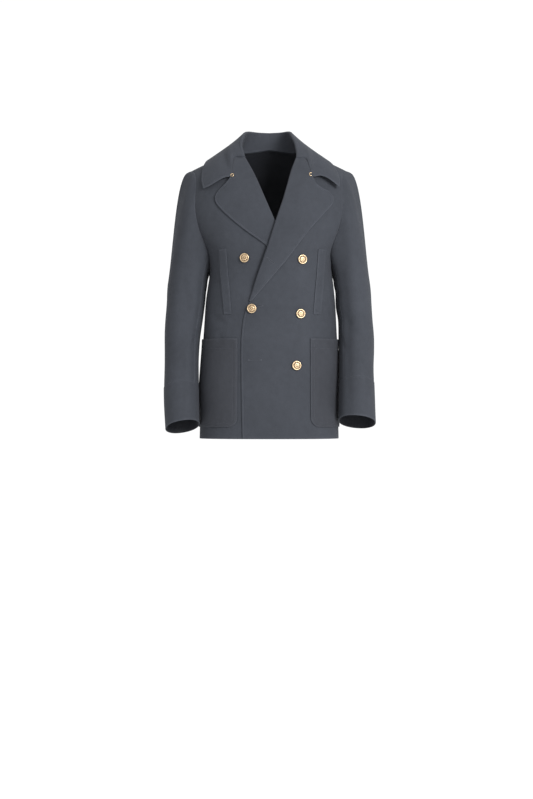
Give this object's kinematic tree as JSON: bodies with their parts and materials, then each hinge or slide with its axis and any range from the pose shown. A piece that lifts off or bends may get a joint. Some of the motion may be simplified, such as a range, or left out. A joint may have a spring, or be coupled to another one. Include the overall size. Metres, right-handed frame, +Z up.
{
  "type": "pea coat",
  "caption": "Hip-length double-breasted wool coat with notched lapels, wide collar, patch and welt pockets and cuffs, hollow and open as when worn.",
  "frame": {"origin": "on the wearer's centre line at the base of the neck, where neck and shoulders carry the coat", "axes": "+Z up, -Y out of the front of the coat, +X towards the wearer's left arm"},
  "size_m": [0.5352, 0.2758, 0.7878],
  "materials": {
    "coat_cloth": "fine soft matt wool",
    "pocket_cloth": "fine soft matt wool",
    "brass": "antique satin"
  },
  "bodies": {
    "root": {"front_left": "coat_cloth", "front_right": "coat_cloth", "back": "coat_cloth", "lapel_left": "coat_cloth", "lapel_right": "coat_cloth", "collar": "coat_cloth", "sleeve_top_left": "coat_cloth", "sleeve_top_right": "coat_cloth", "sleeve_under_left": "coat_cloth", "sleeve_under_right": "coat_cloth", "cuff_left": "coat_cloth", "cuff_right": "coat_cloth", "pocket_left": "pocket_cloth", "pocket_right": "pocket_cloth", "welt_left": "pocket_cloth", "welt_right": "pocket_cloth", "button_top_left": "brass", "button_top_right": "brass", "button_mid_left": "brass", "button_mid_right": "brass", "button_low_right": "brass", "collar_eye": "brass", "collar_hook": "brass"}
  },
  "joints": []
}
